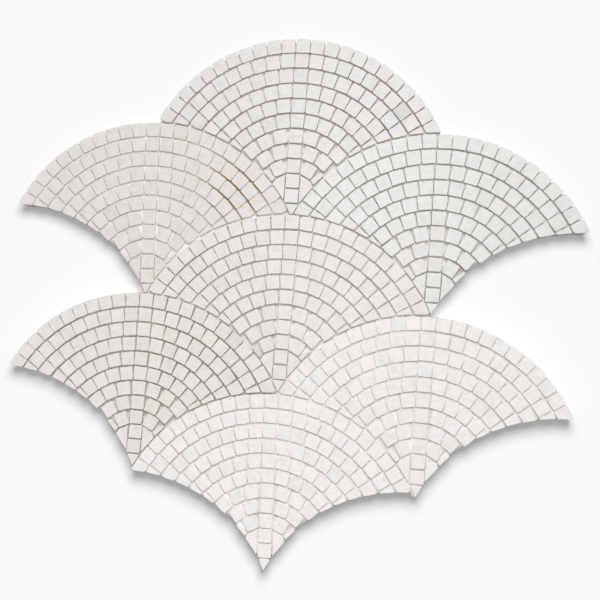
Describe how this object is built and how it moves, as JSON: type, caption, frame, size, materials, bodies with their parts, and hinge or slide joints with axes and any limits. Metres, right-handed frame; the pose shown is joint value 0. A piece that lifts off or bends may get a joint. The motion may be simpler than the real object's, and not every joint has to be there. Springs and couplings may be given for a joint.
{
  "type": "mosaic tile sheet",
  "caption": "Scalloped sheet of small square white marble chips in interlocking fan courses on a glass-fibre backing net, open joints, ready to bed and grout.",
  "frame": {"origin": "middle of the sheet's outline, on the floor under the net", "axes": "+Z out of the stones' faces, +Y towards the fans' crowns, +X across the fans"},
  "size_m": [0.4082, 0.3792, 0.01],
  "materials": {
    "white_marble": "sawn and honed, edges clipped by hand",
    "backing_net": "resin-coated glass-fibre scrim"
  },
  "bodies": {
    "root": {"top_fan_course_1": "white_marble", "top_fan_course_2": "white_marble", "top_fan_course_3": "white_marble", "top_fan_course_4": "white_marble", "top_fan_course_5": "white_marble", "top_fan_course_6": "white_marble", "top_fan_course_7": "white_marble", "top_fan_heart": "white_marble", "upper_left_fan_course_1": "white_marble", "upper_left_fan_course_2": "white_marble", "upper_left_fan_course_3": "white_marble", "upper_left_fan_course_4": "white_marble", "upper_left_fan_course_5": "white_marble", "upper_left_fan_course_6": "white_marble", "upper_left_fan_course_7": "white_marble", "upper_left_fan_heart": "white_marble", "upper_right_fan_course_1": "white_marble", "upper_right_fan_course_2": "white_marble", "upper_right_fan_course_3": "white_marble", "upper_right_fan_course_4": "white_marble", "upper_right_fan_course_5": "white_marble", "upper_right_fan_course_6": "white_marble", "upper_right_fan_course_7": "white_marble", "upper_right_fan_heart": "white_marble", "middle_fan_course_1": "white_marble", "middle_fan_course_2": "white_marble", "middle_fan_course_3": "white_marble", "middle_fan_course_4": "white_marble", "middle_fan_course_5": "white_marble", "middle_fan_course_6": "white_marble", "middle_fan_course_7": "white_marble", "middle_fan_heart": "white_marble", "lower_left_fan_course_1": "white_marble", "lower_left_fan_course_2": "white_marble", "lower_left_fan_course_3": "white_marble", "lower_left_fan_course_4": "white_marble", "lower_left_fan_course_5": "white_marble", "lower_left_fan_course_6": "white_marble", "lower_left_fan_course_7": "white_marble", "lower_left_fan_heart": "white_marble", "lower_right_fan_course_1": "white_marble", "lower_right_fan_course_2": "white_marble", "lower_right_fan_course_3": "white_marble", "lower_right_fan_course_4": "white_marble", "lower_right_fan_course_5": "white_marble", "lower_right_fan_course_6": "white_marble", "lower_right_fan_course_7": "white_marble", "lower_right_fan_heart": "white_marble", "bottom_fan_course_1": "white_marble", "bottom_fan_course_2": "white_marble", "bottom_fan_course_3": "white_marble", "bottom_fan_course_4": "white_marble", "bottom_fan_course_5": "white_marble", "bottom_fan_course_6": "white_marble", "bottom_fan_course_7": "white_marble", "bottom_fan_heart": "white_marble", "net_weft": "backing_net", "net_warp": "backing_net"}
  },
  "joints": []
}
